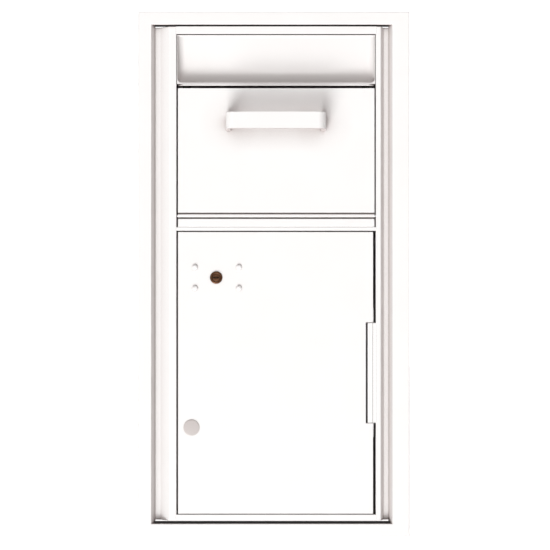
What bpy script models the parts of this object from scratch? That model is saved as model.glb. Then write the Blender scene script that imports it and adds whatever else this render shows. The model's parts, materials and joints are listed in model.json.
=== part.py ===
"""Recess-mounted parcel drop box: a pull-down hopper door over a lockable access door.

Lengths below are in millimetres, with y = 0 on the wall's face, and become the part's own metres in metres().
+Z is up and the box faces -Y. The part's origin is on the cabinet's underside, ORIGIN_Y behind the wall's face and
on the trim's centre line.
"""
import math

import bmesh
import bpy
from mathutils import Matrix, Vector

MM = 0.001
ORIGIN_Y = 200.0
GAP = 0.3                    # clearance between neighbouring pieces
SHEET = 2.0                  # folded sheet of the frame, the doors and the tray
WALL_SHEET = 1.6             # cabinet panels

# Planes along Y, front to back
TRIM_FRONT = -3.2
FACE = -1.2                  # front of the face frame and of both doors
CHANNEL = 6.8                # floor of the channel between trim and frame
FOLD_BACK = 11.8             # back of the frame's folded legs
CABINET_FRONT = 9.1
CABINET_BACK = 400.0

# Trim round the wall opening
TRIM_HALF_WIDTH = 210.8
TRIM_Z = (-24.1, 791.2)
TRIM_OPENING_X = (-190.1, 183.5)
TRIM_OPENING_Z = (-4.4, 771.6)
TRIM_SLOPE = (5.2, 4.7)      # width of the sloped inner edge, left and right
TRIM_LEG = 12.0
SEAL_TOP_Y = (0.4, 3.9)
SEAL_BOTTOM_Y = (-1.0, -0.1)

# Face frame
FRAME_HEIGHT = 768.7
STILE_FOOT = (-177.1, 171.6)
STILE_TOP = (-163.0, 166.2)
OPENING_X = (-151.4, 158.5)
CHANNEL_END = (-188.3, 182.0)
STILE_BACK_FLANGE = 10.0
OPENING_Z = (9.5, 756.9)
MID_RAIL_Z = (451.0, 456.4)

# Cabinet
CABINET_X = (-186.0, 180.2)
ANCHOR_HOLE_R = 3.5
ANCHOR_Y = (70.0, 330.0)
ANCHOR_Z = (110.0, 660.0)

# Hopper door, which turns about an axis along X at its rolled foot
HOPPER_X = (-149.1, 156.5)
HOPPER_Z = (479.2, 672.7)
HOPPER_AXIS = (4.8, 474.7)   # y, z
HOPPER_OPEN = 65.0           # degrees
BARREL_R = 4.5
PIN_R = 2.5
PIN_CLEARANCE = 0.4
PIN_END = 4.5                # pin length beyond each stile's edge
BEARING_LENGTH = 4.0
SILL_Z = (456.8, 469.7)
HOPPER_TOP_FLANGE = 16.0

# Bucket behind the hopper door, in polar terms about the hopper axis
TRAY_ANGLE = -30.0           # degrees from horizontal
TRAY_RADIUS = 196.0
TRAY_UNDER = 6.5             # height of the tray's underside above the axis
BUCKET_SHEET = 1.5
BUCKET_X = (-146.8, 154.2)
BUCKET_RADIUS = 186.0
EAR_ANGLE = -22.0
EAR_RADII = (164.0, 184.0)
EAR_REACH = 9.0
WEIGHT_SIZE = (20.0, 16.0)
WEIGHT_SCREW_INSET = 60.0

# Hood over the hopper door
HOOD_X = (-150.6, 157.7)
HOOD_Z = (681.4, 755.4)
HOOD_TOP_SETBACK = 1.8
HOOD_TOP_BEND = 3.0
HOOD_DEPTH = 28.0
HOOD_FILLET = 18.0
LIP_Z = (676.8, 679.1)
LIP_CHAMFER = (9.0, 5.0)

# Bow handle
HANDLE_X = (-73.6, 80.2)
HANDLE_Z = (605.9, 631.0)
HANDLE_FRONT = -38.0
HANDLE_BAR = 7.0
HANDLE_BEND = 12.0

# Access door, which turns about an axis along Z in the hinge block
ACCESS_X = (-149.1, 154.5)
ACCESS_Z = (10.9, 449.4)
ACCESS_DEPTH = 10.0
ACCESS_AXIS = (152.0, 3.8)   # x, y
NOTCH_X = 143.3
NOTCH_Z = (151.9, 308.2)
BLOCK_X = (145.9, 158.2)
ACCESS_PIN_R = 2.1
LUG_LENGTH = 22.0
LUG_REACH = 30.0
STIFFENER_X = (15.0, 65.0)
STIFFENER_Z = (35.0, 425.0)
STRIKE_X = (-161.0, -142.0)

# Cam lock and its riveted plate
LOCK = (-89.6, 378.2)        # x, z
LOCK_FACE_R = 9.7
LOCK_BODY_R = 7.9
LOCK_PLUG_R = 6.0
LOCK_FRONT = -3.4
LOCK_BACK = 15.0
KEYWAY = (8.0, 1.6, 5.0)     # length, width, depth
CAM_LENGTH = 68.0
CAM_WIDTH = 15.0
PLATE_MARGIN = (10.0, 9.0)
RIVET_X = (-122.6, -54.2)
RIVET_Z = (361.9, 394.5)
RIVET_HEAD_R = 4.5

# Round plug low on the access door
PLUG = (-128.0, 144.9)       # x, z
PLUG_R = 12.3
PLUG_BODY_R = 9.7

BEND_STEPS = 5
ROUND_STEPS = 32
SMALL_STEPS = 20


# ---------------------------------------------------------------- materials

def make_material(name, colour, roughness, metallic):
    material = bpy.data.materials.new(name)
    material.use_nodes = True
    shader = material.node_tree.nodes["Principled BSDF"]
    shader.inputs["Base Color"].default_value = (*colour, 1.0)
    shader.inputs["Roughness"].default_value = roughness
    shader.inputs["Metallic"].default_value = metallic
    return material


def make_materials():
    return {
        "white_coat": make_material("white_coat", (0.90, 0.90, 0.89), 0.45, 0.0),
        "steel": make_material("steel", (0.60, 0.60, 0.60), 0.35, 1.0),
        "bronze": make_material("bronze", (0.24, 0.13, 0.07), 0.40, 1.0),
        "grey_plastic": make_material("grey_plastic", (0.62, 0.59, 0.57), 0.5, 0.0),
        "nylon": make_material("nylon", (0.80, 0.79, 0.75), 0.5, 0.0),
        "rubber": make_material("rubber", (0.03, 0.03, 0.03), 0.8, 0.0),
    }


# ---------------------------------------------------------------- shape tools

def metres(x, y, z):
    return Vector((x, y - ORIGIN_Y, z)) * MM


def place(axis, a, b, along):
    """Point in metres from a section's own coordinates and the distance along its axis."""
    if axis == "X":
        return metres(along, a, b)
    if axis == "Y":
        return metres(a, along, b)
    return metres(a, b, along)


def finish_mesh(name, mesh_data, material):
    bmesh.ops.recalc_face_normals(mesh_data, faces=mesh_data.faces)
    mesh = bpy.data.meshes.new(name)
    mesh_data.to_mesh(mesh)
    mesh_data.free()
    mesh.materials.append(material)
    mesh.shade_smooth()
    mesh.set_sharp_from_angle(angle=math.radians(32.0))
    obj = bpy.data.objects.new(name, mesh)
    bpy.context.scene.collection.objects.link(obj)
    return obj


def loft(name, axis, sections, material):
    """Closed solid through sections: a list of (distance along the axis, outline)."""
    shape = bmesh.new()
    rings = []
    for along, outline in sections:
        rings.append([shape.verts.new(place(axis, a, b, along)) for a, b in outline])
    shape.faces.new(rings[0])
    shape.faces.new(rings[-1])
    count = len(rings[0])
    for ring, following in zip(rings, rings[1:]):
        for i in range(count):
            j = (i + 1) % count
            shape.faces.new((ring[i], ring[j], following[j], following[i]))
    return finish_mesh(name, shape, material)


def prism(name, axis, outline, low, high, material):
    return loft(name, axis, [(low, outline), (high, outline)], material)


def block(name, x, y, z, material):
    outline = [(x[0], y[0]), (x[1], y[0]), (x[1], y[1]), (x[0], y[1])]
    return prism(name, "Z", outline, z[0], z[1], material)


def circle(a, b, radius, steps=ROUND_STEPS):
    turns = [2.0 * math.pi * i / steps for i in range(steps)]
    return [(a + radius * math.cos(t), b + radius * math.sin(t)) for t in turns]


def rod(name, axis, centre, radius, low, high, material, steps=ROUND_STEPS):
    return prism(name, axis, circle(*centre, radius, steps), low, high, material)


def turned(name, centre, profile, material, steps=ROUND_STEPS):
    """Solid turned about a line along Y through centre (x, z), from (radius, y) points.

    A profile that starts and ends at radius 0 is closed on the axis, any other one is a closed loop round it.
    """
    shape = bmesh.new()
    on_axis = profile[0][0] == 0.0
    rings = []
    for radius, y in profile:
        if radius == 0.0:
            rings.append([shape.verts.new(metres(centre[0], y, centre[1]))] * steps)
            continue
        ring = []
        for a, b in circle(*centre, radius, steps):
            ring.append(shape.verts.new(metres(a, y, b)))
        rings.append(ring)
    pairs = list(zip(rings, rings[1:]))
    if not on_axis:
        pairs.append((rings[-1], rings[0]))
    for ring, following in pairs:
        for i in range(steps):
            j = (i + 1) % steps
            corners = []
            for vertex in (ring[i], ring[j], following[j], following[i]):
                if vertex not in corners:
                    corners.append(vertex)
            shape.faces.new(corners)
    return finish_mesh(name, shape, material)


def rounded(points, radii, steps=BEND_STEPS):
    """Open path with each inner corner turned into an arc of its radius."""
    path = [Vector(points[0])]
    for i in range(1, len(points) - 1):
        corner = Vector(points[i])
        before = (Vector(points[i - 1]) - corner).normalized()
        after = (Vector(points[i + 1]) - corner).normalized()
        half = before.angle(after) / 2.0
        reach = radii[i - 1] / math.tan(half)
        start = corner + before * reach
        end = corner + after * reach
        centre = corner + (before + after).normalized() * (radii[i - 1] / math.sin(half))
        for k in range(steps + 1):
            towards = (start - centre).slerp(end - centre, k / steps).normalized()
            path.append(centre + towards * radii[i - 1])
    path.append(Vector(points[-1]))
    return [tuple(point) for point in path]


def offset_path(path, distance):
    """The path moved sideways, to its left when followed, with mitred corners."""
    moved = []
    for i, point in enumerate(path):
        here = Vector(point)
        normals = []
        for j in (i - 1, i):
            if 0 <= j < len(path) - 1:
                run = (Vector(path[j + 1]) - Vector(path[j])).normalized()
                normals.append(Vector((-run.y, run.x)))
        mitre = sum(normals, Vector((0.0, 0.0)))
        mitre = mitre * (len(normals) / mitre.dot(mitre)) if len(normals) == 2 else mitre
        moved.append(tuple(here + mitre * distance))
    return moved


def folded(path, thickness):
    """Outline of folded sheet whose one side is the path and whose metal lies to the path's left."""
    return list(path) + offset_path(path, thickness)[::-1]


def combine(target, helpers, operation):
    """Boolean each helper into the target, keep the result and remove the helpers."""
    for helper in helpers:
        modifier = target.modifiers.new(operation.lower(), "BOOLEAN")
        modifier.operation = operation
        modifier.solver = "EXACT"
        modifier.object = helper
    view = bpy.context.view_layer
    view.update()
    evaluated = target.evaluated_get(view.depsgraph)
    result = bpy.data.meshes.new_from_object(evaluated, depsgraph=view.depsgraph)
    target.modifiers.clear()
    target.data = result
    for helper in helpers:
        bpy.data.objects.remove(helper)
    result.shade_smooth()
    result.set_sharp_from_angle(angle=math.radians(32.0))
    return target


def drill(target, axis, centres, radius, low, high, steps=SMALL_STEPS):
    cutters = []
    for centre in centres:
        cutters.append(rod("cutter", axis, centre, radius, low, high, target.data.materials[0], steps))
    return combine(target, cutters, "DIFFERENCE")


# ---------------------------------------------------------------- trim and face frame

def side_trim(name, inner, outer, slope, material):
    """Flat plate on the wall with a leg that slopes back to the channel floor."""
    out = math.copysign(1.0, outer - inner)
    width = abs(outer - inner)
    foot = CHANNEL - GAP
    depth = foot - TRIM_FRONT
    lean = slope / depth
    leg = SHEET * math.hypot(slope, depth) / depth
    section = [
        (0.0, TRIM_FRONT), (width, TRIM_FRONT), (width, 0.0), (leg + lean * TRIM_FRONT, 0.0),
        (leg - slope, foot), (-slope, foot),
    ]
    outline = [(inner + out * a, y) for a, y in section]
    return prism(name, "Z", outline, TRIM_OPENING_Z[0] + GAP, TRIM_OPENING_Z[1] - GAP, material)


def make_trim(coat, rubber):
    """Side members between a plain bottom plate and a top plate with a leg, and two seals to the frame."""
    side_trim("trim_left", TRIM_OPENING_X[0], -TRIM_HALF_WIDTH, TRIM_SLOPE[0], coat)
    side_trim("trim_right", TRIM_OPENING_X[1], TRIM_HALF_WIDTH, TRIM_SLOPE[1], coat)
    width = (-TRIM_HALF_WIDTH, TRIM_HALF_WIDTH)
    low, high = TRIM_OPENING_Z
    block("trim_bottom", width, (TRIM_FRONT, 0.0), (TRIM_Z[0], low), coat)
    top = block("trim_top", width, (TRIM_FRONT, 0.0), (high, TRIM_Z[1]), coat)
    leg_x = (TRIM_OPENING_X[0] + 1.0, TRIM_OPENING_X[1] - 1.0)
    leg = block("leg", leg_x, (TRIM_FRONT / 2.0, TRIM_LEG), (high, high + SHEET), coat)
    combine(top, [leg], "UNION")
    block("seal_top", (leg_x[0] + 4.0, leg_x[1] - 4.0), SEAL_TOP_Y, (FRAME_HEIGHT + GAP, high - GAP), rubber)
    block("seal_bottom", CABINET_X, SEAL_BOTTOM_Y, (low + GAP, -GAP), rubber)


def make_stile(name, side, material):
    """Channel floor, slope, flat face, leg beside the doors and back flange, folded from one sheet."""
    edge = OPENING_X[side]
    out = -1.0 if side == 0 else 1.0
    path = [
        (CHANNEL_END[side], CHANNEL), (STILE_FOOT[side], CHANNEL), (STILE_TOP[side], FACE), (edge, FACE),
        (edge, FOLD_BACK), (edge + out * STILE_BACK_FLANGE, FOLD_BACK),
    ]
    outline = folded(path, SHEET if side == 0 else -SHEET)
    stile = prism(name, "Z", outline, 0.0, FRAME_HEIGHT, material)
    hole = (edge + out * SHEET / 2.0 - SHEET, edge + out * SHEET / 2.0 + SHEET)
    return drill(stile, "X", [HOPPER_AXIS], PIN_R + PIN_CLEARANCE, hole[0], hole[1])


def make_frame(coat):
    make_stile("frame_left_stile", 0, coat)
    make_stile("frame_right_stile", 1, coat)
    span = (OPENING_X[0] + GAP, OPENING_X[1] - GAP)
    low, high = OPENING_Z
    top = [(FOLD_BACK, high), (FACE, high), (FACE, FRAME_HEIGHT), (CABINET_FRONT - GAP, FRAME_HEIGHT)]
    bottom = [(FOLD_BACK, low), (FACE, low), (FACE, 0.0), (CABINET_FRONT - GAP, 0.0)]
    prism("frame_top_rail", "X", folded(top, -SHEET), span[0], span[1], coat)
    prism("frame_bottom_rail", "X", folded(bottom, SHEET), span[0], span[1], coat)
    block("frame_mid_rail", span, (FACE, FOLD_BACK), MID_RAIL_Z, coat)


def make_cabinet(coat):
    """Five flat panels; the two sides have holes for the anchor screws."""
    back = CABINET_BACK - WALL_SHEET
    panel_y = (CABINET_FRONT, back - GAP)
    anchors = [(y, z) for y in ANCHOR_Y for z in ANCHOR_Z]
    inner = []
    for name, outer, into in (("cabinet_left_side", CABINET_X[0], 1.0), ("cabinet_right_side", CABINET_X[1], -1.0)):
        x = sorted((outer, outer + into * WALL_SHEET))
        panel = block(name, x, panel_y, (0.0, FRAME_HEIGHT), coat)
        drill(panel, "X", anchors, ANCHOR_HOLE_R, x[0] - SHEET, x[1] + SHEET)
        inner.append(outer + into * (WALL_SHEET + GAP))
    level_y = (FOLD_BACK + GAP, panel_y[1])
    block("cabinet_bottom", inner, level_y, (0.0, WALL_SHEET), coat)
    block("cabinet_top", inner, level_y, (FRAME_HEIGHT - WALL_SHEET, FRAME_HEIGHT), coat)
    block("cabinet_back", CABINET_X, (back, CABINET_BACK), (0.0, FRAME_HEIGHT), coat)
    return inner


# ---------------------------------------------------------------- hood over the hopper

def hood_path():
    """Front surface of the hood's sheet: down its sloping back, then forward along its floor."""
    top = FACE + HOOD_TOP_SETBACK
    points = [(FOLD_BACK, HOOD_Z[1]), (top, HOOD_Z[1]), (FACE + HOOD_DEPTH, HOOD_Z[0]), (FACE, HOOD_Z[0])]
    return rounded(points, [HOOD_TOP_BEND, HOOD_FILLET])


def make_hood(coat):
    path = hood_path()
    prism("hood_panel", "X", folded(path, SHEET), HOOD_X[0], HOOD_X[1], coat)
    pocket = offset_path(path[BEND_STEPS + 1:], -GAP)
    lower_front = (FACE + 1.0, pocket[-1][1])
    upper_front = (FACE + 1.0, pocket[0][1])
    outline = [upper_front] + pocket[:-1] + [lower_front]
    prism("hood_end_left", "X", outline, HOOD_X[0], HOOD_X[0] + WALL_SHEET, coat)
    prism("hood_end_right", "X", outline, HOOD_X[1] - WALL_SHEET, HOOD_X[1], coat)
    along, back = LIP_CHAMFER
    lip = [
        (HOPPER_X[0] + along, FACE), (HOPPER_X[1] - along, FACE), (HOPPER_X[1], FACE + back),
        (HOPPER_X[1], FACE + 3.0 * back), (HOPPER_X[0], FACE + 3.0 * back), (HOPPER_X[0], FACE + back),
    ]
    prism("hood_lip", "Z", lip, LIP_Z[0], LIP_Z[1], coat)


# ---------------------------------------------------------------- hopper door

def make_hopper_seat(materials):
    """Sill under the hopper door, its hinge pin and the two blind bearings behind the stiles' legs."""
    sill = [(FOLD_BACK - 1.0, SILL_Z[0]), (FACE, SILL_Z[0]), (FACE, SILL_Z[1])]
    prism("hopper_sill", "X", folded(sill, -SHEET), HOPPER_X[0], HOPPER_X[1], materials["white_coat"])
    pin_x = (OPENING_X[0] - PIN_END, OPENING_X[1] + PIN_END)
    rod("hopper_hinge_pin", "X", HOPPER_AXIS, PIN_R, pin_x[0], pin_x[1], materials["steel"], SMALL_STEPS)
    y, z = HOPPER_AXIS
    leg_back = SHEET + GAP
    for name, edge, out in (("left", OPENING_X[0], -1.0), ("right", OPENING_X[1], 1.0)):
        x = sorted((edge + out * leg_back, edge + out * (leg_back + BEARING_LENGTH)))
        bearing_y = (FACE + SHEET + GAP, FOLD_BACK - SHEET - GAP)
        bearing = block("hopper_bearing_" + name, x, bearing_y, (z - 8.0, z + 8.0), materials["nylon"])
        bore = sorted((edge, edge + out * (PIN_END + GAP)))
        drill(bearing, "X", [(y, z)], PIN_R + PIN_CLEARANCE, bore[0], bore[1])


def hopper_door_outline():
    """Door sheet with a top return flange, a web at its foot and the rolled barrel round the pin."""
    y, z = HOPPER_AXIS
    top = HOPPER_Z[1]
    foot = HOPPER_Z[0]
    outline = [
        (FACE, foot), (FACE, top), (FACE + HOPPER_TOP_FLANGE, top), (FACE + HOPPER_TOP_FLANGE, top - SHEET),
        (FACE + SHEET, top - SHEET), (FACE + SHEET, foot + 3.5),
    ]
    start, end = math.radians(70.0), math.radians(-245.0)
    for i in range(SMALL_STEPS + 1):
        turn = start + (end - start) * i / SMALL_STEPS
        outline.append((y + BARREL_R * math.cos(turn), z + BARREL_R * math.sin(turn)))
    outline.append((outline[-1][0], foot))
    return outline


def make_hopper_door(coat, steel):
    door = prism("hopper_door_panel", "X", hopper_door_outline(), HOPPER_X[0], HOPPER_X[1], coat)
    drill(door, "X", [HOPPER_AXIS], PIN_R + PIN_CLEARANCE, HOPPER_X[0] - 5.0, HOPPER_X[1] + 5.0)
    screw_x = (HANDLE_X[0] + HANDLE_BAR / 2.0, HANDLE_X[1] - HANDLE_BAR / 2.0)
    screw_z = (HANDLE_Z[0] + HANDLE_Z[1]) / 2.0
    screws = [(x, screw_z) for x in screw_x]
    drill(door, "Y", screws, 2.2, FACE - 5.0, FACE + SHEET + 5.0)
    handle = make_handle(coat)
    drill(handle, "Y", screws, 2.2, FACE - 9.3, FACE + 5.0)
    pieces = [door, handle]
    head = FACE + SHEET + GAP
    for name, centre in zip(("handle_screw_left", "handle_screw_right"), screws):
        profile = [(0.0, FACE - 9.0), (1.9, FACE - 9.0), (1.9, head), (4.2, head), (3.4, head + 2.4), (0.0, head + 2.8)]
        pieces.append(turned(name, centre, profile, steel, SMALL_STEPS))
    return pieces


def make_handle(coat):
    """Bow of one flat bar: two legs off the door with rounded bends into the grip."""
    low, high = HANDLE_X
    foot = FACE - GAP
    points = [(high, foot), (high, HANDLE_FRONT), (low, HANDLE_FRONT), (low, foot)]
    outer = rounded(points, [HANDLE_BEND, HANDLE_BEND], 8)
    return prism("hopper_handle", "Z", folded(outer, -HANDLE_BAR), HANDLE_Z[0], HANDLE_Z[1], coat)


def tray_point(reach, height):
    """y, z of a point given along the tray and square to it, from the hopper axis."""
    turn = math.radians(TRAY_ANGLE)
    y = HOPPER_AXIS[0] + reach * math.cos(turn) - height * math.sin(turn)
    z = HOPPER_AXIS[1] + reach * math.sin(turn) + height * math.cos(turn)
    return y, z


def polar(radius, degrees):
    turn = math.radians(degrees)
    return HOPPER_AXIS[0] + radius * math.cos(turn), HOPPER_AXIS[1] + radius * math.sin(turn)


def radial_plate(radii, degrees, thickness):
    """Outline of a flat plate that lies along a radius, with its metal on the clockwise side."""
    inner = Vector(polar(radii[0], degrees))
    outer = Vector(polar(radii[1], degrees))
    run = (outer - inner).normalized()
    below = Vector((run.y, -run.x)) * thickness
    return [tuple(inner), tuple(outer), tuple(outer + below), tuple(inner + below)]


def bucket_side_outline():
    """Sector plate between the back of the door and the top of the tray."""
    front = FACE + SHEET + GAP
    tray_top = TRAY_UNDER + SHEET + GAP
    y, z = HOPPER_AXIS
    rise = math.sqrt(BUCKET_RADIUS ** 2 - (front - y) ** 2)
    first = math.atan2(rise, front - y)
    last = math.radians(TRAY_ANGLE) + math.asin(tray_top / BUCKET_RADIUS)
    turn = math.radians(TRAY_ANGLE)
    reach = (front - y + tray_top * math.sin(turn)) / math.cos(turn)
    outline = [tray_point(reach, tray_top)]
    steps = 24
    for i in range(steps + 1):
        angle = first + (last - first) * i / steps
        outline.append((y + BUCKET_RADIUS * math.cos(angle), z + BUCKET_RADIUS * math.sin(angle)))
    return outline


def make_bucket(coat, steel):
    """Two sector plates with stop ears, the tray between them and its counterweight bar."""
    pieces = []
    outline = bucket_side_outline()
    inner = (BUCKET_X[0] + BUCKET_SHEET, BUCKET_X[1] - BUCKET_SHEET)
    ear = radial_plate(EAR_RADII, EAR_ANGLE, 2.5)
    for name, outer, inside, out in (("left", BUCKET_X[0], inner[0], -1.0), ("right", BUCKET_X[1], inner[1], 1.0)):
        x = sorted((outer, inside))
        side = prism("hopper_side_" + name, "X", outline, x[0], x[1], coat)
        ear_x = sorted((outer + out * EAR_REACH, (outer + inside) / 2.0))
        tab = prism("tab", "X", ear, ear_x[0], ear_x[1], coat)
        pieces.append(combine(side, [tab], "UNION"))

    front = FACE + SHEET + GAP
    turn = math.radians(TRAY_ANGLE)
    start = (front - HOPPER_AXIS[0] + TRAY_UNDER * math.sin(turn)) / math.cos(turn) + 1.0
    top, under = TRAY_UNDER + SHEET, TRAY_UNDER
    corners = [tray_point(start + 1.2, top), tray_point(TRAY_RADIUS, top), tray_point(TRAY_RADIUS, under),
               tray_point(start, under)]
    tray_x = (BUCKET_X[0] + 0.2, BUCKET_X[1] - 0.2)
    tray = prism("hopper_tray", "X", corners, tray_x[0], tray_x[1], coat)

    near = TRAY_RADIUS - WEIGHT_SIZE[0]
    bar_top = under - GAP
    bar_low = bar_top - WEIGHT_SIZE[1]
    bar = [tray_point(near, bar_top), tray_point(TRAY_RADIUS, bar_top), tray_point(TRAY_RADIUS, bar_low),
           tray_point(near, bar_low)]
    weight = prism("tray_counterweight", "X", bar, inner[0] + 4.0, inner[1] - 4.0, steel)

    middle = TRAY_RADIUS - WEIGHT_SIZE[0] / 2.0
    at_origin = (0.0, ORIGIN_Y)
    for name, x in (("left", inner[0] + WEIGHT_SCREW_INSET), ("right", inner[1] - WEIGHT_SCREW_INSET)):
        tilt = Matrix.Translation(metres(x, *tray_point(middle, 0.0))) @ Matrix.Rotation(turn, 4, "X")
        cutters = []
        for low, high in ((under - 5.0, top + 5.0), (bar_low + 3.0, under + 1.0)):
            cutter = rod("cutter", "Z", at_origin, 2.2, low, high, steel, SMALL_STEPS)
            cutter.data.transform(tilt)
            cutters.append(cutter)
        combine(tray, cutters[:1], "DIFFERENCE")
        combine(weight, cutters[1:], "DIFFERENCE")
        head = top + GAP
        rings = [(bar_low + 4.0, 1.9), (head, 1.9), (head, 4.2), (head + 2.4, 3.4)]
        sections = [(level, circle(*at_origin, radius, SMALL_STEPS)) for level, radius in rings]
        screw = loft("counterweight_screw_" + name, "Z", sections, steel)
        screw.data.transform(tilt)
        pieces.append(screw)
    return pieces + [tray, weight]


def make_hopper_stops(coat, rubber, inner):
    """Radial plates on the cabinet's sides that catch the ears, and pads behind the door's top flange."""
    catch = radial_plate(EAR_RADII, EAR_ANGLE + HOPPER_OPEN + 0.5 + 0.9, 3.0)
    prism("hopper_stop_left", "X", catch, inner[0], BUCKET_X[0] - EAR_REACH + 6.0, coat)
    prism("hopper_stop_right", "X", catch, BUCKET_X[1] + EAR_REACH - 6.0, inner[1], coat)
    pad_y = (FACE + HOPPER_TOP_FLANGE + GAP, FACE + HOPPER_TOP_FLANGE + 4.5)
    pad_z = (HOPPER_Z[1] - 6.0, HOOD_Z[0] - SHEET - GAP)
    block("hopper_bumper_left", (HOPPER_X[0] + 6.0, HOPPER_X[0] + 18.0), pad_y, pad_z, rubber)
    block("hopper_bumper_right", (HOPPER_X[1] - 18.0, HOPPER_X[1] - 6.0), pad_y, pad_z, rubber)


def make_baffle(coat, inner):
    """Fixed sheet from the cabinet's back towards the tray's tip when the hopper is open."""
    back = CABINET_BACK - WALL_SHEET - GAP
    path = [(back, 540.0), (back, 560.0), (188.0, 620.0), (188.0, 632.0)]
    prism("anti_fish_baffle", "X", folded(path, SHEET), inner[0], inner[1], coat)


# ---------------------------------------------------------------- access door

def door_outline(inset, right_inset):
    """Access door seen from the front, with the notch for the hinge block."""
    left, right = ACCESS_X[0] + inset, ACCESS_X[1] - right_inset
    low, high = ACCESS_Z[0] + inset, ACCESS_Z[1] - inset
    return [
        (left, low), (right, low), (right, NOTCH_Z[0]), (NOTCH_X, NOTCH_Z[0]), (NOTCH_X, NOTCH_Z[1]),
        (right, NOTCH_Z[1]), (right, high), (left, high),
    ]


def make_access_door(coat):
    """Front sheet with flanges along its left, top and bottom edges."""
    door = prism("access_door_panel", "Y", door_outline(0.0, 0.0), FACE, FACE + ACCESS_DEPTH, coat)
    left, low, high = ACCESS_X[0] + SHEET, ACCESS_Z[0] + SHEET, ACCESS_Z[1] - SHEET
    hollow = block("hollow", (left, ACCESS_X[1] + 5.0), (FACE + SHEET, FACE + ACCESS_DEPTH + 5.0), (low, high), coat)
    combine(door, [hollow], "DIFFERENCE")
    through = (FACE - 5.0, FACE + SHEET + 5.0)
    drill(door, "Y", [LOCK], LOCK_BODY_R + GAP, through[0], through[1], ROUND_STEPS)
    drill(door, "Y", [PLUG], PLUG_BODY_R + GAP, through[0], through[1], ROUND_STEPS)
    drill(door, "Y", [(x, z) for x in RIVET_X for z in RIVET_Z], 2.3, through[0], through[1])
    return door


def make_stiffener(coat):
    """Hat section up the inside of the door."""
    face = FACE + SHEET + GAP
    low, high = STIFFENER_X
    path = [(low, face), (low + 12.0, face), (low + 16.0, face + 12.0), (high - 16.0, face + 12.0),
            (high - 12.0, face), (high, face)]
    return prism("access_door_stiffener", "Z", folded(path, 1.5), STIFFENER_Z[0], STIFFENER_Z[1], coat)


def make_hinge(coat, steel):
    """Flush block on the right stile, the pin through it, and the door's two lugs on the pin."""
    block_z = (NOTCH_Z[0] + 2.0 * GAP, NOTCH_Z[1] - 2.0 * GAP)
    hinge_block = block("hinge_block", BLOCK_X, (FACE, FOLD_BACK), block_z, coat)
    drill(hinge_block, "Z", [ACCESS_AXIS], ACCESS_PIN_R + PIN_CLEARANCE, block_z[0] - 5.0, block_z[1] + 5.0)
    pin_z = (NOTCH_Z[0] - LUG_LENGTH + 2.0, NOTCH_Z[1] + LUG_LENGTH - 2.0)
    rod("access_hinge_pin", "Z", ACCESS_AXIS, ACCESS_PIN_R, pin_z[0], pin_z[1], steel, SMALL_STEPS)
    lugs = []
    lug_x = (ACCESS_AXIS[0] - LUG_REACH, ACCESS_AXIS[0] + 3.5)
    lug_y = (FACE + SHEET + GAP, ACCESS_AXIS[1] + 4.0)
    lower = (NOTCH_Z[0] - LUG_LENGTH, NOTCH_Z[0])
    upper = (NOTCH_Z[1], NOTCH_Z[1] + LUG_LENGTH)
    for name, z in (("hinge_lug_lower", lower), ("hinge_lug_upper", upper)):
        lug = block(name, lug_x, lug_y, z, steel)
        lugs.append(drill(lug, "Z", [ACCESS_AXIS], ACCESS_PIN_R + PIN_CLEARANCE, z[0] - 5.0, z[1] + 5.0))
    return lugs


def make_strike(coat, rubber):
    """Strip behind the left stile that the door closes on and the cam turns behind, with two pads."""
    strip_y = (FOLD_BACK + GAP, FOLD_BACK + GAP + SHEET)
    block("strike_plate", STRIKE_X, strip_y, (ACCESS_Z[0] + 2.0, ACCESS_Z[1] - 2.0), coat)
    pad_y = (FACE + ACCESS_DEPTH + GAP, FOLD_BACK)
    for name, middle in (("lower", ACCESS_Z[0] + 40.0), ("upper", ACCESS_Z[1] - 40.0)):
        block("door_bumper_" + name, (-149.5, -143.0), pad_y, (middle - 8.0, middle + 8.0), rubber)


def make_rivets(coat):
    """Domed heads outside, flat tails inside, through the door and the lock plate."""
    rivets = []
    head = FACE - GAP
    tail = FACE + 2.0 * SHEET + 2.0 * GAP
    dome = []
    for i in range(6):
        turn = math.radians(90.0 - 18.0 * i)
        dome.append((RIVET_HEAD_R * math.cos(turn), head - 2.2 * math.sin(turn)))
    dome[0] = (0.0, dome[0][1])
    profile = dome + [(2.0, head), (2.0, tail), (3.2, tail), (3.2, tail + 1.3), (0.0, tail + 1.5)]
    for row, z in zip(("lower", "upper"), RIVET_Z):
        for side, x in zip(("left", "right"), RIVET_X):
            rivets.append(turned("rivet_" + row + "_" + side, (x, z), profile, coat, SMALL_STEPS))
    return rivets


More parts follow.
